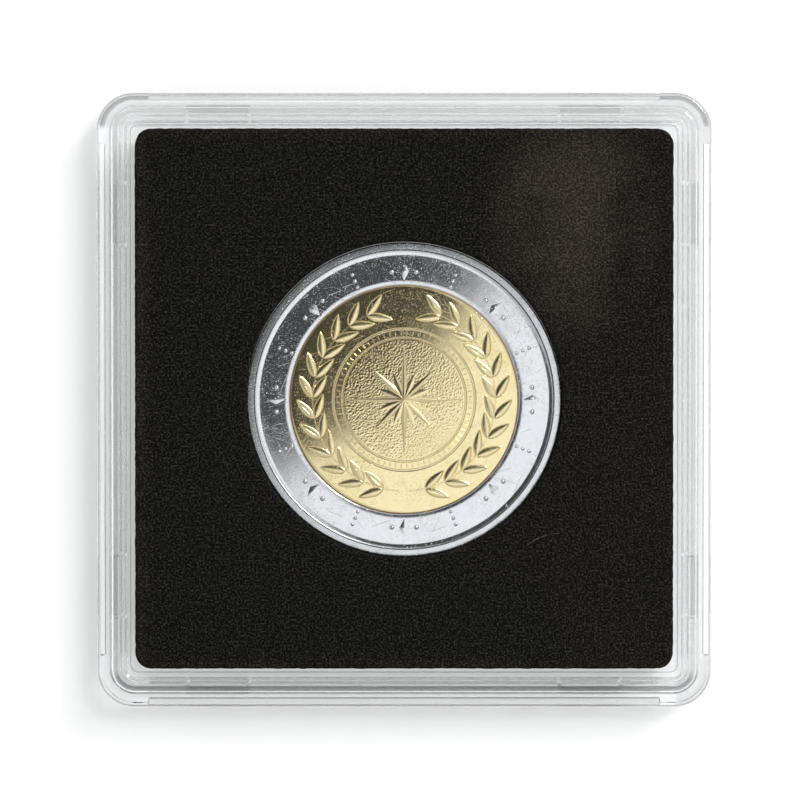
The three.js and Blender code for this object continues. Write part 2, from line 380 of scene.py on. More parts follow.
def evenNormals(piece):  # keeps the broad faces flat where they meet the roundings
    applyModifier(piece, "WEIGHTED_NORMAL", mode="FACE_AREA", weight=50, keep_sharp=True)


def roundEdges(piece, width, steps):
    openEdit(piece)
    bpy.ops.mesh.select_all(action="SELECT")
    bpy.ops.mesh.dissolve_limited(angle_limit=math.radians(0.5))
    closeEdit()
    applyModifier(piece, "BEVEL", width=width, segments=steps, limit_method="ANGLE",
                  angle_limit=math.radians(35), use_clamp_overlap=True, miter_outer="MITER_ARC")


def makeCoverShell():
    c = capsule
    shell = squarePlate("cover", c["side"], c["cornerRadius"], c["skirtBottom"], c["top"], c["cornerSteps"])
    openEdit(shell)
    pickFaces(shell, lambda middle, normal: normal.z > 0.9)
    bpy.ops.mesh.inset(thickness=c["rimWidth"], use_even_offset=True)
    raiseFaces(c["paneTop"] - c["top"])
    pickFaces(shell, lambda middle, normal: normal.z < -0.9)
    bpy.ops.mesh.inset(thickness=c["skirtThickness"], use_even_offset=True)
    raiseFaces(c["paneBottom"] - c["skirtBottom"])
    closeEdit()
    roundLoop(shell, 0, c["top"], c["outerRounding"], c["outerSteps"])
    roundLoop(shell, 0, c["skirtBottom"], c["seamRounding"], c["edgeSteps"])
    roundLoop(shell, c["skirtThickness"], c["paneBottom"], c["skirtRootRounding"], c["outerSteps"])
    roundEdges(shell, c["edgeRounding"], c["edgeSteps"])
    width = c["tongueWidth"] + 2 * c["slitWidth"]
    height = c["ridgeHeight"] + c["grooveSlack"]
    grooves = onEverySide(lambda: tongueBars(c["grooveReach"], width, height), "grooves")
    combine(shell, grooves, "DIFFERENCE")
    return shell


def makeBaseShell():
    c = capsule
    shell = squarePlate("base", c["side"], c["cornerRadius"], c["footHeight"], c["seamHeight"], c["cornerSteps"])
    openEdit(shell)
    pickFaces(shell, lambda middle, normal: normal.z > 0.9)
    bpy.ops.mesh.inset(thickness=c["wallInset"], use_even_offset=True)
    raiseFaces(c["wallTop"] - c["seamHeight"])
    bpy.ops.mesh.inset(thickness=c["wallThickness"], use_even_offset=True)
    raiseFaces(c["floorTop"] - c["wallTop"])
    closeEdit()
    wallInside = c["wallInset"] + c["wallThickness"]
    roundLoop(shell, 0, c["footHeight"], c["outerRounding"], c["outerSteps"])
    roundLoop(shell, 0, c["seamHeight"], c["seamRounding"], c["edgeSteps"])
    roundLoop(shell, c["wallInset"], c["wallTop"], c["wallTopRounding"], c["outerSteps"])
    roundLoop(shell, wallInside, c["wallTop"], c["wallTopRounding"], c["outerSteps"])
    roundLoop(shell, wallInside, c["floorTop"], c["wallRootRounding"], c["outerSteps"])
    footSide = c["side"] - 2 * c["footInset"]
    foot = squarePlate("foot", footSide, c["footRadius"], 0, c["seatBottom"], c["footSteps"])
    openSide = footSide - 2 * c["footWidth"]
    opening = squarePlate("opening", openSide, c["openingRadius"], -c["cutMargin"], c["footHeight"], c["footSteps"])
    combine(foot, opening, "DIFFERENCE")
    combine(shell, foot, "UNION")
    combine(shell, onEverySide(nailSlot, "slots"), "DIFFERENCE")
    tidyMesh(shell)
    roundEdges(shell, c["edgeRounding"] / 2, 2)
    seatTop = c["floorTop"] + c["cutMargin"]
    seat = squarePlate("seat", c["seatSide"], c["seatRadius"], c["seatBottom"], seatTop, c["seatSteps"])
    combine(shell, seat, "DIFFERENCE")
    width = c["tongueWidth"] + c["slitWidth"]  # the slits cut the ridges to length
    ridges = onEverySide(lambda: tongueBars(c["ridgeReach"], width, c["ridgeHeight"]), "ridges")
    combineTriangles(shell, ridges, "UNION")
    for part in ("wall", "floor"):
        combineTriangles(shell, onEverySide(lambda: tongueSlits(part), "cuts"), "DIFFERENCE")
    tidyMesh(shell, 0.0005 * mm, fill=True)
    return shell


# foam insert
foam = {
    "side": 44 * mm, "cornerRadius": 1.3 * mm, "cornerSteps": 10, "bottom": 1.45 * mm, "thickness": 3.1 * mm,
    "sideMargin": 0.02 * mm, "topMargin": 0.03 * mm,  # room for the waves
    "holeSteps": 160, "coinClearance": 0.05 * mm, "edgeRounding": 0.2 * mm, "edgeSteps": 3, "voxel": 0.2 * mm,
    "waveHeight": 0.03 * mm, "waveLength": 1.1 * mm,
    "raggedness": 0.06 * mm, "raggedLength": 0.4 * mm, "raggedWidth": 0.35 * mm,
    "bulge": 0.16 * mm, "bulgeWidth": 2 * mm, "lowestBulge": 1.75 * mm, "bulgeRise": 0.6 * mm,
    "seed": 7,
}


def makeFoamInsert():
    f = foam
    top = f["bottom"] + f["thickness"]
    side, flatTop = f["side"] - f["sideMargin"], top - f["topMargin"]
    pad = squarePlate("insert", side, f["cornerRadius"], f["bottom"], flatTop, f["cornerSteps"])
    narrowest = coin["radius"] + f["coinClearance"]
    hole = {"radius": narrowest, "depth": 4 * f["thickness"], "vertices": f["holeSteps"]}
    bpy.ops.mesh.primitive_cylinder_add(location=(0, 0, top), **hole)
    combine(pad, newPiece("hole"), "DIFFERENCE")
    applyModifier(pad, "BEVEL", width=f["edgeRounding"], segments=f["edgeSteps"], limit_method="ANGLE",
                  angle_limit=math.radians(50), use_clamp_overlap=True)
    applyModifier(pad, "REMESH", mode="VOXEL", voxel_size=f["voxel"])
    half = f["side"] / 2
    noise.seed_set(f["seed"])  # without it noise_vector starts from the clock
    for vertex in pad.data.vertices:  # soft unevenness, most along the punched edges
        spot = vertex.co
        radius = math.hypot(spot.x, spot.y)
        fromEdge = min(half - max(abs(spot.x), abs(spot.y)), abs(radius - narrowest))
        edge = math.exp(-((fromEdge / f["raggedWidth"]) ** 2))
        wave = noise.noise(spot / f["waveLength"]) * f["waveHeight"]
        ragged = noise.noise_vector(spot / f["raggedLength"]) * f["raggedness"] * edge
        moved = spot + ragged + Vector((0, 0, wave))
        reach = math.hypot(moved.x, moved.y)
        if reach < narrowest:
            moved.x, moved.y = moved.x * narrowest / reach, moved.y * narrowest / reach
        above, behind = spot.z - f["lowestBulge"], spot.y - half + f["bulgeWidth"]
        if above > 0 and behind > 0:  # the soft pad stands out over its seat at the back
            moved.y += f["bulge"] * behind / f["bulgeWidth"] * min(1, above / f["bulgeRise"])
        vertex.co = (moved.x, moved.y, max(f["bottom"], min(top, moved.z)))
    choose(pad)
    bpy.ops.object.shade_smooth()
    return pad


# coin
coin = {
    "radius": 12.875 * mm, "thickness": 2.2 * mm, "bottom": 1.45 * mm, "coreRadius": 9.375 * mm, "steps": 360,
    "edgeRounding": 0.12 * mm, "edgeSteps": 6, "reedDepth": 0.035 * mm,
    # distance in from the coin's edge rounding, and depth below its rim
    "ringProfile": [
        (0.46, 0.0), (0.5, 0.05), (0.55, 0.084), (0.64, 0.108), (0.76, 0.134), (0.86, 0.147), (0.96, 0.151),
        (1.5, 0.149), (2.2, 0.145), (2.9, 0.148), (3.24, 0.15), (3.31, 0.162), (3.36, 0.2),
    ],
    # distance in from the core's edge, and depth below the coin's rim
    "coreProfile": [
        (0.0, 0.24), (0.05, 0.2), (0.14, 0.178), (0.28, 0.166), (0.45, 0.16), (1.2, 0.155), (2.4, 0.147),
        (3.46, 0.142), (3.53, 0.085), (3.62, 0.085), (3.69, 0.141), (4.2, 0.139), (4.27, 0.08), (4.36, 0.08),
        (4.43, 0.15), (6.0, 0.15), (8.0, 0.15),
    ],
    "reliefDepth": 0.15 * mm, "reliefHeight": 0.12 * mm, "reliefRoot": 0.3 * mm, "reliefWall": 0.5,
    "roseRadius": 4.75 * mm, "longShare": 1.0, "shortShare": 0.74, "minorShare": 0.5, "notchShare": 0.29,
    "rosePeak": 1.5, "bossRadius": 0.62 * mm, "bossSteps": 49, "bossShare": 1.2,
    "bossRounding": 0.07 * mm, "bossLip": 0.16 * mm, "bossHollow": 0.07 * mm,
    "tickCount": 72, "tickRadius": 5.425 * mm, "tickLength": 0.32 * mm, "tickWidth": 0.1 * mm,
    "leafPairs": 12, "leafLength": 2.15 * mm, "leafWidth": 0.74 * mm, "leafSteps": 16, "leafTaper": 0.28,
    "leafLean": 31, "leafEdgeMargin": 0.4 * mm,
    # rise as a share of reliefHeight, and the scales of what has risen
    "leafShape": [(0.55, 0.96, 0.88), (0.2, 0.96, 0.84), (0.1, 0.95, 0.16), (-0.12, 0.98, 0.3)],
    "stemWidth": 0.15 * mm, "branchStart": 7, "branchEnd": 163, "stemSteps": 48, "stemTaper": 0.4,
    "markCount": 8, "markRadius": 10.5 * mm, "lozengeLength": 1.5 * mm, "lozengeWidth": 0.8 * mm,
    "beadRadius": 0.24 * mm, "beadPitch": 1.0 * mm, "seedRadius": 0.17 * mm, "seedPitch": 0.55 * mm,
}


def turnedBlank(name, radius, profile):  # a disc whose faces step down along the profile
    top = coin["bottom"] + coin["thickness"]
    lowest = profile[0][1] * mm
    size = {"radius": radius - profile[0][0] * mm, "depth": coin["thickness"] - 2 * lowest}
    middle = (0, 0, top - coin["thickness"] / 2)
    bpy.ops.mesh.primitive_cylinder_add(location=middle, vertices=coin["steps"], **size)
    blank = newPiece(name)
    openEdit(blank)
    for side in (1, -1):
        pickFaces(blank, lambda middle, normal: side * normal.z > 0.9)
        for before, after in zip(profile, profile[1:]):
            bpy.ops.mesh.inset(thickness=(after[0] - before[0]) * mm, use_even_offset=True)
            bpy.ops.transform.translate(value=(0, 0, -side * (after[1] - before[1]) * mm))
    closeEdit()
    return blank


def makeRingBlank():
    c = coin
    rounding = c["edgeRounding"] / mm
    profile = [(0.0, rounding)]
    for step in range(1, c["edgeSteps"] + 1):
        angle = step * turn / (4 * c["edgeSteps"])
        profile.append((rounding * (1 - math.cos(angle)), rounding * (1 - math.sin(angle))))
    profile += [(rounding + across, down) for across, down in c["ringProfile"]]
    ring = turnedBlank("ring", c["radius"], profile)
    openEdit(ring)
    inner = c["radius"] - profile[-1][0] * mm
    pickFaces(ring, lambda middle, normal: abs(normal.z) > 0.9 and math.hypot(middle.x, middle.y) < inner / 2)
    bpy.ops.mesh.delete(type="ONLY_FACE")
    bpy.ops.mesh.select_mode(type="EDGE")
    reach = inner + 0.01 * mm
    pickEdges(ring, lambda middle, along: math.hypot(middle.x, middle.y) < reach)
    bpy.ops.mesh.bridge_edge_loops()
    closeEdit()
    outermost = c["radius"] - 0.001 * mm
    for vertex in ring.data.vertices:  # every second upright edge of the rolled edge goes in, as a reed
        step = round(math.atan2(vertex.co.y, vertex.co.x) / turn * c["steps"])
        if math.hypot(vertex.co.x, vertex.co.y) > outermost and step % 2:
            vertex.co.xy *= 1 - c["reedDepth"] / c["radius"]
    return ring


def hill(name, outline, shape):  # rises from a closed outline in steps: (rise share, x scale, y scale)
    bpy.ops.mesh.primitive_circle_add(vertices=len(outline), radius=1 * mm, fill_type="NGON")
    body = newPiece(name)
    for vertex, (x, y) in zip(body.data.vertices, outline):
        vertex.co = (x, y, -coin["reliefRoot"])
    openEdit(body)
    bpy.ops.mesh.select_all(action="SELECT")
    bpy.ops.mesh.normals_make_consistent(inside=False)
    raiseFaces(coin["reliefRoot"])
    for rise, scaleX, scaleY in shape:
        raiseFaces(rise * coin["reliefHeight"])
        bpy.ops.transform.resize(value=(scaleX, scaleY, 1), center_override=(0, 0, 0))
    closeEdit()
    return body


def leafOutline():
    half, width = coin["leafLength"] / 2, coin["leafWidth"] / 2
    points = []
    for i in range(coin["leafSteps"]):
        angle = i * turn / coin["leafSteps"]
        across = math.sin(angle)
        taper = 1 - coin["leafTaper"] * math.cos(angle)
        points.append((half * math.cos(angle), width * across * taper * abs(across) ** 0.25))
    return points


def makeRose():  # facets that rise from a low upright wall to one peak, under a round boss
    c = coin
    shares = [c["longShare"], c["minorShare"], c["shortShare"], c["minorShare"]] * 4
    outline, steps = [], 2 * len(shares)
    for i in range(steps):
        radius = c["roseRadius"] * (shares[i // 2] if i % 2 == 0 else c["notchShare"])
        outline.append((radius * math.cos(i * turn / steps), radius * math.sin(i * turn / steps)))
    rose = hill("rose", outline, [(c["reliefWall"], 1, 1)])
    openEdit(rose)
    pickFaces(rose, lambda middle, normal: normal.z > 0.9)
    bpy.ops.mesh.poke(offset=(c["rosePeak"] - c["reliefWall"]) * c["reliefHeight"])
    closeEdit()
    bossTop = c["reliefHeight"] * c["bossShare"]
    size = {"radius": c["bossRadius"], "depth": c["reliefRoot"] + bossTop, "vertices": c["bossSteps"]}
    bpy.ops.mesh.primitive_cylinder_add(location=(0, 0, (bossTop - c["reliefRoot"]) / 2), **size)
    boss = newPiece("boss")
    openEdit(boss)
    pickFaces(boss, lambda middle, normal: normal.z > 0.9)
    bpy.ops.mesh.bevel(offset=c["bossRounding"], segments=3, affect="EDGES")
    pickFaces(boss, lambda middle, normal: normal.z > 0.99)
    bpy.ops.mesh.inset(thickness=c["bossLip"])
    raiseFaces(-c["bossHollow"])
    closeEdit()
    return unite(rose, [boss])


def makeTicks():
    c = coin
    length, width = c["tickLength"] / 2, c["tickWidth"] / 2
    outline = [(length, width), (-length, width), (-length, -width), (length, -width)]
    tick = hill("tick", outline, [(0.5, 0.96, 0.6)])
    ticks = []
    for i in range(c["tickCount"]):
        turned = Matrix.Rotation((i + 0.5) * turn / c["tickCount"], 4, "Z")
        ticks.append(placedCopy(tick, turned @ Matrix.Translation((c["tickRadius"], 0, 0))))
    bpy.data.objects.remove(tick)
    return ticks


def makeBranches():
    c = coin
    lean = math.radians(c["leafLean"])
    stemRadius = c["coreRadius"] - c["leafEdgeMargin"] - c["leafLength"] * math.sin(lean) - c["leafWidth"] / 2
    leaf = hill("leaf", leafOutline(), c["leafShape"])
    leaf.data.transform(Matrix.Translation((c["leafLength"] / 2 + c["stemWidth"] * 0.3, 0, 0)))
    step = (c["branchEnd"] - c["branchStart"]) / c["leafPairs"]
    groups = {(side, odd): [] for side in (-1, 1) for odd in (0, 1)}
    for hand in (1, -1):
        for pair in range(c["leafPairs"]):
            place = math.radians(hand * (c["branchStart"] + step * (pair + 0.45)) - 90)
            for side in (-1, 1):
                leaning = Matrix.Rotation(hand * turn / 4 + side * lean, 4, "Z")
                turned = Matrix.Rotation(place, 4, "Z") @ Matrix.Translation((stemRadius, 0, 0)) @ leaning
                groups[side, pair % 2].append(placedCopy(leaf, turned))
    bpy.data.objects.remove(leaf)
    stems = []
    for hand in (1, -1):
        outside, inside = [], []
        for i in range(c["stemSteps"] + 1):
            share = i / c["stemSteps"]
            reach = c["branchStart"] - 4 + (c["branchEnd"] - c["branchStart"] + 2) * share
            angle = math.radians(hand * reach - 90)
            half = c["stemWidth"] / 2 * (1 - c["stemTaper"] * share)
            for side, radius in ((outside, stemRadius + half), (inside, stemRadius - half)):
                side.append((radius * math.cos(angle), radius * math.sin(angle)))
        stem = hill("stem", outside + inside[::-1], [(0.35, 1, 1)])
        openEdit(stem)
        pickFaces(stem, lambda middle, normal: normal.z > 0.9)
        bpy.ops.mesh.inset(thickness=c["stemWidth"] * 0.24, use_even_offset=True)
        raiseFaces(0.25 * c["reliefHeight"])
        closeEdit()
        stems.append(stem)
    groups = [joinPieces(leaves, "leaves") for leaves in groups.values()]
    return unite(groups[0], groups[1:] + [joinPieces(stems, "stems")])


def makeMarks():
    c = coin
    half, width = c["lozengeLength"] / 2, c["lozengeWidth"] / 2
    lozenge = hill("lozenge", [(half, 0), (0, width), (-half, 0), (0, -width)], [(0.4, 1, 1), (0.6, 0.12, 0.12)])
    beads = {}
    for name in ("bead", "seed"):
        radius = c[name + "Radius"]
        middle = (0, 0, c["reliefHeight"] - radius)
        bpy.ops.mesh.primitive_ico_sphere_add(subdivisions=3, radius=radius, location=middle)
        beads[name] = newPiece(name)
    pieces = []
    for i in range(c["markCount"]):
        at = i * turn / c["markCount"]
        spots = [(lozenge, at, 0)]
        spots += [(beads["bead"], at + hand * c["beadPitch"] / c["markRadius"], 0) for hand in (-1, 1)]
        spots += [(beads["seed"], at + turn / c["markCount"] / 2, row * c["seedPitch"]) for row in (-1, 0, 1)]
        for part, angle, out in spots:
            turned = Matrix.Rotation(angle, 4, "Z") @ Matrix.Translation((c["markRadius"] + out, 0, 0))
            pieces.append(placedCopy(part, turned))
    bpy.data.objects.remove(lozenge)
    for bead in beads.values():
        bpy.data.objects.remove(bead)
    return pieces


def strike(blank, reliefPieces):  # joins relief pieces that don't touch each other to both faces
    relief = joinPieces(reliefPieces, "relief")
    tidyMesh(relief, 0.0005 * mm)
    fieldTop = coin["thickness"] - coin["reliefDepth"]
    upper = Matrix.Translation((0, 0, fieldTop + coin["bottom"]))
    flipped = Matrix.Translation((0, 0, coin["bottom"])) @ Matrix.Translation((0, 0, coin["thickness"] - fieldTop))
    lower = flipped @ Matrix.Rotation(turn / 2, 4, "X")
    both = joinPieces([placedCopy(relief, upper), placedCopy(relief, lower)], "reliefs")
    bpy.data.objects.remove(relief)
    combine(blank, both, "UNION")
    sortMesh(blank)


def makeCoinRing():
    ring = makeRingBlank()
    strike(ring, makeMarks())
    smooth(ring, 28)
    return ring


def makeCoinCore():
    core = turnedBlank("core", coin["coreRadius"], coin["coreProfile"])
    strike(core, [makeRose(), makeBranches()] + makeTicks())
    smooth(core, 24)
    return core


# finishes
plasticLook = {
    "clear": (0.985, 0.99, 0.992, 1), "passing": (0.955, 0.958, 0.96, 1), "rimShare": 0.86,
    "wearScale": (900, 90), "haze": 0.05, "roughness": 0.012, "unevenScale": 200, "unevenDepth": 0.02 * mm,
    # painted shade: how dark the plastic is tinted, as shares of the shade colour: behind the skirt, in the nail
    # slots, on lip and border
    "shade": (0.42, 0.42, 0.425, 1), "gapInset": 1.24 * mm, "gapHalf": 0.28 * mm, "gapFade": 0.18 * mm,
    "gapRight": 0.36, "gapBack": 0.34, "gapLeft": 0.34, "gapFront": 0.85, "onTongue": 0.16,
    "slotBack": 0.75, "slotFront": 0.75, "lipRight": 0.24, "lipBack": 0.62, "borderRight": 0.13, "borderBack": 0.17,
    "scratchMiddle": (12.7 * mm, -15 * mm), "scratchRadius": 4.15 * mm, "scratchEnd": -12.2 * mm,
    "scratchHalf": 0.015 * mm, "scratchFade": 0.04 * mm, "scratchRoughness": 0.45,
}


# painted shade: the rim's tint is darkened in the gap behind the skirt (most on the front, a little more on the
# tongues), in the nail slots, and on the lip and border of the right and back sides
def rimShade(f, x, y, z):  # the parts of the rim that look darker than clear plastic
    look, c = plasticLook, capsule
    flat = c["side"] / 2 - c["cornerRadius"]
    overX, overY = (x.absolute() - flat).atLeast(0), (y.absolute() - flat).atLeast(0)
    inset = c["cornerRadius"] - (overX * overX + overY * overY) ** 0.5
    toBack, toFront = f.between(y, 22 * mm, 23 * mm), f.between(y, -22 * mm, -23 * mm)
    sides = f.between(x, -22 * mm, 22 * mm, look["gapLeft"], look["gapRight"])
    level = sides + toBack * (look["gapBack"] - sides) + toFront * (look["gapFront"] - sides)
    fromTongue = x.absolute().atMost(y.absolute()) - c["tongueMiddle"]
    level = level + f.band(fromTongue, c["tongueWidth"] / 2, 0.1 * mm) * look["onTongue"]
    gap = f.band(inset - look["gapInset"], look["gapHalf"], look["gapFade"]) * level
    atSlot = f.between(inset, 0.6 * mm, 0.42 * mm) * f.between(x.absolute(), 21 * mm, 20.9 * mm)
    slotLevel = f.between(y, 23 * mm, 24 * mm) * look["slotBack"]
    slotLevel = slotLevel + f.between(y, -23 * mm, -24 * mm) * look["slotFront"]
    below = f.between(z, c["top"] - 0.6 * mm, c["paneBottom"] + 0.2 * mm)
    shade = gap.atLeast(atSlot * slotLevel) * below
    onRight, onBack = f.between(x, 22 * mm, 22.6 * mm), f.between(y, 22 * mm, 22.6 * mm)
    border = (onRight * look["borderRight"]).atLeast(onBack * look["borderBack"])
    lip = (onRight * look["lipRight"]).atLeast(onBack * look["lipBack"])
    shade = shade.atLeast(border * f.between(inset, 2.9 * mm, 2.7 * mm))
    return shade.atLeast(lip * f.between(inset, 0.56 * mm, 0.44 * mm))


def paneScratch(f, place, x, y, z):  # a faint arc on the cover's pane
    look = plasticLook
    offX, offY = x - look["scratchMiddle"][0], y - look["scratchMiddle"][1]
    fromArc = (offX * offX + offY * offY) ** 0.5 - look["scratchRadius"]
    arc = f.band(fromArc, look["scratchHalf"], look["scratchFade"]) * f.between(offX, 0.2 * mm, -0.2 * mm)
    arc = arc * f.between(y, look["scratchEnd"], look["scratchEnd"] + 0.3 * mm)
    arc = arc * f.between(z, 5.6 * mm, 5.8 * mm)
    return arc * f.between(f.grain(place, 2500, 1, 0.5), 0.4, 0.55, 0.2, 1.0)


def makePlasticFinish(name):
    material, f = newMaterial(name)
    look = plasticLook
    place = f.place()
    parts = f.node("SeparateXYZ", None, {0: place})
    x, y, z = parts.out("X"), parts.out("Y"), parts.out("Z")
    across, along = look["wearScale"]
    haze = f.between(f.grain(f.turned(place, 0.6, across, along), 1, 3, 0.6), 0.6, 0.75, 0.0, look["haze"])
    scratch = paneScratch(f, place, x, y, z) * look["scratchRoughness"]
    clear = f.node("BsdfPrincipled", None, {
        "Base Color": f.blend(rimShade(f, x, y, z), look["clear"], look["shade"]), "Metallic": 0.0,
        "Roughness": haze.atLeast(scratch) + look["roughness"], "IOR": 1.5, "Transmission Weight": 1.0,
        "Normal": f.bump(f.grain(place, look["unevenScale"], 0, 0.5), 0.05, look["unevenDepth"]),
    })
    # lets the light of lamps and between surfaces straight through, and over the panes also reflections
    path = f.node("LightPath")
    light = f.node("BsdfTransparent", None, {"Color": look["passing"]})
    overPane = 1 - f.between(f.farther(x, y), 22.2 * mm, 22.6 * mm)
    throughRim = overPane * (1 - look["rimShare"]) + look["rimShare"]
    passing = path.out("Is Shadow Ray").atLeast(path.out("Is Diffuse Ray")) * throughRim
    passing = passing.atLeast(path.out("Is Reflection Ray") * overPane)
    f.finishWith(f.node("MixShader", None, {0: passing, 1: clear, 2: light}))
    return material


foamLook = {
    "pore": (0.0004, 0.0004, 0.0002, 1), "crumb": (0.037, 0.035, 0.0235, 1), "brown": (0.086, 0.066, 0.050, 1),
    "poreScale": 6200, "softScale": 2400, "broadScale": 160, "poreDepth": 0.05 * mm,
    "patchMiddle": (14.0 * mm, 14.4 * mm), "patchReach": (6.2 * mm, 8.5 * mm),
    "edgeBrown": 0.22, "leftBrown": 0.3, "rightBrown": 0.08,
}


def makeFoamFinish():
    material, f = newMaterial("blackFoam")
    look = foamLook
    place = f.place()
    parts = f.node("SeparateXYZ", None, {0: place})
    x, y = parts.out("X"), parts.out("Y")
    fine = f.grain(place, look["poreScale"], 1, 0.5)
    soft = f.grain(place, look["softScale"], 2, 0.5)
    broad = f.grain(place, look["broadScale"], 3, 0.5)
    speck = f.between(fine * 0.8 + soft * 0.2, 0.42, 0.76)
    pores = f.blend(speck, look["pore"], look["crumb"])
    offX = (x - look["patchMiddle"][0]) / look["patchReach"][0]
    offY = (y - look["patchMiddle"][1]) / look["patchReach"][1]
    brown = 1 - f.between(offX * offX + offY * offY, -0.2, 1.8)  # a lighter, brownish patch toward the back right
    brown = brown.atLeast(f.between(f.farther(x, y), 20.8 * mm, 22 * mm) * look["edgeBrown"])
    brown = brown.atLeast(f.between(x, -20.2 * mm, -21.8 * mm) * look["leftBrown"])
    brown = brown.atLeast(f.between(x, 0, 20 * mm) * look["rightBrown"])
    brown = brown * f.between(broad, 0.2, 0.6) * (speck * 0.8 + 0.2)
    height = speck * 0.6 + soft * 0.5
    surface = f.node("BsdfPrincipled", None, {
        "Base Color": f.blend(brown, pores, look["brown"]), "Roughness": 0.95, "Specular IOR Level": 0.1,
        "Normal": f.bump(height, 0.7, look["poreDepth"]),
    })
    f.finishWith(surface)
    return material


# what the two metals share: the coin's slope in its hole, its faces' slight doming per metre, relief, wear
coinLook = {
    "askew": 0.0525, "doming": 1.53, "matt": 0.09, "rimMatt": 0.05, "rimRadius": 12.15 * mm,
    "reliefStart": 0.965 * mm, "groundRadius": 4.9 * mm, "stippleScale": 6500, "stippleDepth": 0.0045 * mm,
    "dustScale": 6000, "dustyScale": 330, "wornScale": 700, "waveScale": 220, "waveDepth": 0.003 * mm,
    "markDepth": 0.008 * mm, "creaseHalf": 0.03 * mm, "creaseFade": 0.045 * mm,
    # angle, scales across and along, and share of each family of fine scratches
    "scratches": [(0.5, 7000, 240, 1), (1.9, 6000, 300, 1), (2.7, 8000, 200, 1), (1.2, 7000, 170, 0.7)],
}
# creaseRadius and creaseColour place and colour a dark line: painted shade in the ring's crease, and the dark joint
# at the brass core's edge
nickelLook = {
    "name": "nickel", "colour": (0.80, 0.82, 0.85, 1), "deep": (0.70, 0.715, 0.75, 1),
    "pale": (0.86, 0.87, 0.88, 1), "roughness": 0.085, "haze": 0.035, "metallic": 0.95, "wear": 1.0,
    "creaseRadius": 12.255 * mm, "creaseColour": (0.06, 0.058, 0.055, 1),
}
brassLook = {
    "name": "brass", "colour": (0.94, 0.81, 0.48, 1), "deep": (0.88, 0.72, 0.35, 1),
    "pale": (0.92, 0.82, 0.5, 1), "roughness": 0.08, "haze": 0.03, "metallic": 0.95, "wear": 0.55,
    "creaseRadius": 9.32 * mm, "creaseColour": (0.3, 0.17, 0.06, 1),
}


def fineScratches(f, place):
    marks = None
    for angle, across, along, share in coinLook["scratches"]:
        streaks = f.grain(f.turned(place, angle, across, along), 1, 1, 0.4)
        patches = f.grain(f.turned(place, angle + 1, 350, 350), 1, 2, 0.5)
        family = f.between(streaks, 0.69, 0.74) * f.between(patches, 0.47, 0.6) * share
        marks = marks.atLeast(family) if marks else family
    return marks


def makeCoinFinish(look):
    material, f = newMaterial(look["name"])
    common = coinLook
    place = f.place()
    parts = f.node("SeparateXYZ", None, {0: place})
    x, y, z = parts.out("X"), parts.out("Y"), parts.out("Z")
    squared = x * x + y * y
    radius = squared ** 0.5
    fromMiddle = (z - (coin["bottom"] + coin["thickness"] / 2)).absolute()
    raised = f.between(fromMiddle, common["reliefStart"], common["reliefStart"] + 0.03 * mm)
    rim = f.between(radius, common["rimRadius"], common["rimRadius"] + 0.15 * mm)
    crease = f.band(radius - look["creaseRadius"], common["creaseHalf"], common["creaseFade"])  # a dark line along a crease: painted shade at the ring's inner rim edge, and the dark joint where the core meets the ring
    marks = fineScratches(f, place) * look["wear"]
    grain = f.grain(place, common["dustScale"], 1, 0.5)
    dusty = f.between(f.grain(place, common["dustyScale"], 2, 0.5), 0.35, 0.65)
    dust = f.between(grain, 0.64, 0.74) * (dusty * 0.7 + 0.3) * look["wear"]
    pits = f.between(grain, 0.36, 0.29) * (dusty * 0.6 + 0.2)
    ground = 1 - f.between(radius, common["groundRadius"] - 0.05 * mm, common["groundRadius"])
    cells = {"Vector": place, "Scale": common["stippleScale"], "Smoothness": 0.3}
    stipple = f.node("TexVoronoi", {"feature": "SMOOTH_F1"}, cells) * (ground * (1 - raised))
    lying = (y - x) * (common["askew"] * math.sqrt(0.5)) - squared * common["doming"]
    normal = f.bump(lying, 1.0, 1.0)
    normal = f.bump(f.grain(place, common["waveScale"], 2, 0.5), 1.0, common["waveDepth"], normal)
    normal = f.bump(stipple, 1.0, common["stippleDepth"], normal)
    normal = f.bump(dust * 0.5 - marks * 0.6 - pits * 0.5, 0.8, common["markDepth"], normal)
    worn = f.between(f.grain(place, common["wornScale"], 3, 0.6), 0.4, 0.7)
    tone = f.blend((worn * 0.35).atLeast(pits), look["colour"], look["deep"])
    tone = f.blend(crease, tone, look["creaseColour"])
    roughness = worn * look["haze"] + look["roughness"] + raised * common["matt"] + rim * common["rimMatt"]
    surface = f.node("BsdfPrincipled", None, {
        "Base Color": f.blend(dust.atLeast(marks * 0.6), tone, look["pale"]),
        "Metallic": (1 - dust.atLeast(marks * 0.5) * 0.35) * (1 - crease * 0.6) * look["metallic"],
        "Roughness": (roughness + crease * 0.4 + dust * 0.2).atMost(0.5),
        "Normal": normal,
    })
    f.finishWith(surface)
    return material


# floor, light and camera
studio = {
    # floorLift and farLift whiten the floor as the camera sees it, near and far; floorGlow does so through glass
    "floorSize": 6.0, "floorColour": (0.9, 0.9, 0.9, 1), "floorLift": 0.1, "floorGlow": 0.33,
    "farFrom": 0.1, "farTo": 0.7, "farLift": 0.9,
    # shadowDip takes a little of the lift away beside the capsule, where its shadow is deepest
    "shadowFrom": 25 * mm, "shadowTo": 29.5 * mm, "shadowDip": 0.065,
    # a dark and a light round field overhead, by their tilt and their inner and outer angles
    "darkTilt": 14, "darkInner": 20.1, "darkOuter": 21.1, "darkLevel": 0.02,
    "boxTilt": 17, "boxInner": 11, "boxOuter": 21, "boxLevel": 1.22,
    "sideLevel": 0.62, "sideSlant": 0.16, "horizonLevel": 0.7,
    "keyPower": 6.0, "keyPlace": (0.43, 0.40, 0.64), "keySize": 0.24,
}
camera = {"lens": 220, "distance": 399 * mm, "tilt": -1.4, "aim": (-0.34 * mm, 0.0 * mm, 5 * mm)}


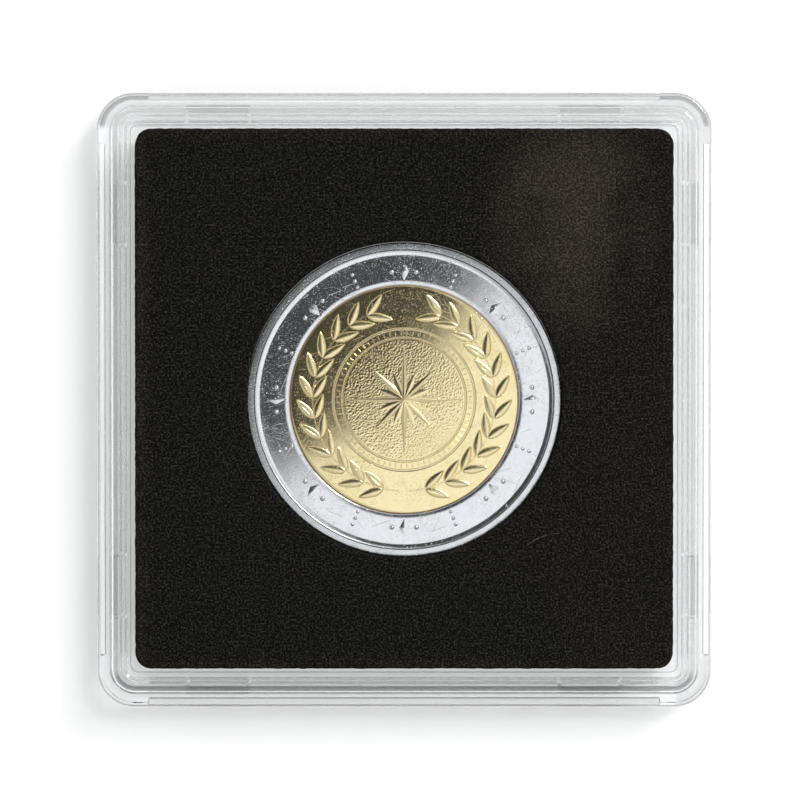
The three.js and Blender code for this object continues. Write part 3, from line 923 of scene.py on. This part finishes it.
def makeFloor():
    s = studio
    bpy.ops.mesh.primitive_plane_add(size=s["floorSize"])
    floor = newPiece("floor")
    material, f = newMaterial("floorWhite")
    path = f.node("LightPath")
    spot = f.place()
    far = f.node("VectorMath", {"operation": "LENGTH"}, {0: spot}, "Value")
    lift = f.between(far, s["farFrom"], s["farTo"], s["floorLift"], s["farLift"])
    parts = f.node("SeparateXYZ", None, {0: spot})
    outside = f.farther(parts.out("X"), parts.out("Y"))
    lift = lift - f.between(outside, s["shadowTo"], s["shadowFrom"]) * s["shadowDip"]
    seen = path.out("Is Camera Ray").atLeast(path.out("Is Glossy Ray")) * lift
    seen = seen.atLeast(path.out("Is Transmission Ray") * s["floorGlow"])
    matt = f.node("BsdfDiffuse", None, {"Color": s["floorColour"]})
    glow = f.node("Emission", None, {"Color": (1, 1, 1, 1), "Strength": seen})
    f.finishWith(f.node("AddShader", None, {0: matt, 1: glow}))
    dress(floor, material)


def makeSurroundings():
    s = studio
    world = bpy.data.worlds.new("studio")
    bpy.context.scene.world = world
    world.use_nodes = True
    w = Finish(world.node_tree)
    direction = w.node("VectorMath", {"operation": "NORMALIZE"}, {0: w.node("TexCoord", None, None, "Generated")})
    diagonal = math.sqrt(0.5)

    def along(x, y, z):
        return w.node("VectorMath", {"operation": "DOT_PRODUCT"}, {0: direction, 1: (x, y, z)}, "Value")

    def roundField(name, hand):  # 1 inside, tilted from overhead to the front right, or to the back left
        tilt = math.radians(s[name + "Tilt"])
        inner, outer = math.cos(math.radians(s[name + "Inner"])), math.cos(math.radians(s[name + "Outer"]))
        facing = along(hand * math.sin(tilt) * diagonal, -hand * math.sin(tilt) * diagonal, math.cos(tilt))
        return w.between(facing, outer, inner)

    upward = along(0, 0, 1)
    side = along(diagonal, -diagonal, 0) * w.between(upward, 0.4, 0.75, 0.0, s["sideSlant"]) + s["sideLevel"]
    low = 1 - w.between(upward, 0.05, 0.3)
    level = side + low * (s["horizonLevel"] - side)
    boxed = level + roundField("box", 1) * (s["boxLevel"] - level)
    lit = boxed + roundField("dark", -1) * (s["darkLevel"] - boxed)
    shown = lit + w.node("LightPath", None, None, "Is Camera Ray") * (1 - lit)  # a plain white backdrop
    w.finishWith(w.node("Background", None, {"Color": (1, 1, 1, 1), "Strength": shown}), "OutputWorld")


def makeKeyLight():
    s = studio
    lamp = bpy.data.lights.new("key", "AREA")
    lamp.energy, lamp.size = s["keyPower"], s["keySize"]
    key = bpy.data.objects.new("key", lamp)
    bpy.context.scene.collection.objects.link(key)
    key.location = s["keyPlace"]
    key.rotation_euler = (-Vector(s["keyPlace"])).to_track_quat("-Z", "Y").to_euler()


def makeCamera():
    c = camera
    data = bpy.data.cameras.new("camera")
    data.lens = c["lens"]
    data.clip_start = 0.01
    holder = bpy.data.objects.new("camera", data)
    bpy.context.scene.collection.objects.link(holder)
    tilt = math.radians(c["tilt"])
    back = Vector((0, -math.sin(tilt), math.cos(tilt)))
    holder.location = Vector(c["aim"]) + back * c["distance"]
    holder.rotation_euler = (tilt, 0, 0)
    bpy.context.scene.camera = holder


bpy.context.scene.view_settings.view_transform = "Standard"
makeCamera()
makeFloor()
makeSurroundings()
makeKeyLight()
print("studio and camera set")

clearPlastic = makePlasticFinish("clearPlastic")
coverShell = makeCoverShell()
smooth(coverShell, 40)
evenNormals(coverShell)
dress(coverShell, clearPlastic)
print("cover shell made:", len(coverShell.data.polygons), "faces")
baseShell = makeBaseShell()
smooth(baseShell, 40)
evenNormals(baseShell)
dress(baseShell, clearPlastic)
print("base shell made:", len(baseShell.data.polygons), "faces")
foamInsert = makeFoamInsert()
dress(foamInsert, makeFoamFinish())
print("foam insert made:", len(foamInsert.data.polygons), "faces")
coinRing = makeCoinRing()
dress(coinRing, makeCoinFinish(nickelLook))
print("coin ring made:", len(coinRing.data.polygons), "faces")
coinCore = makeCoinCore()
dress(coinCore, makeCoinFinish(brassLook))
print("coin core made:", len(coinCore.data.polygons), "faces")

rides = [
    (coverShell, "cover", "cover_shell", "clear_cover"), (baseShell, "base", "base_shell", "clear_base"),
    (foamInsert, "insert", "foam_insert", "black_foam"), (coinRing, "coin", "coin_ring", "nickel_ring"),
    (coinCore, "coin", "coin_core", "brass_core"),
]
for piece, body, node, slot in rides:
    piece.name = node + "_visual"
    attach(piece, body)
    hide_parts(node)

print("pieces ride on their bodies")
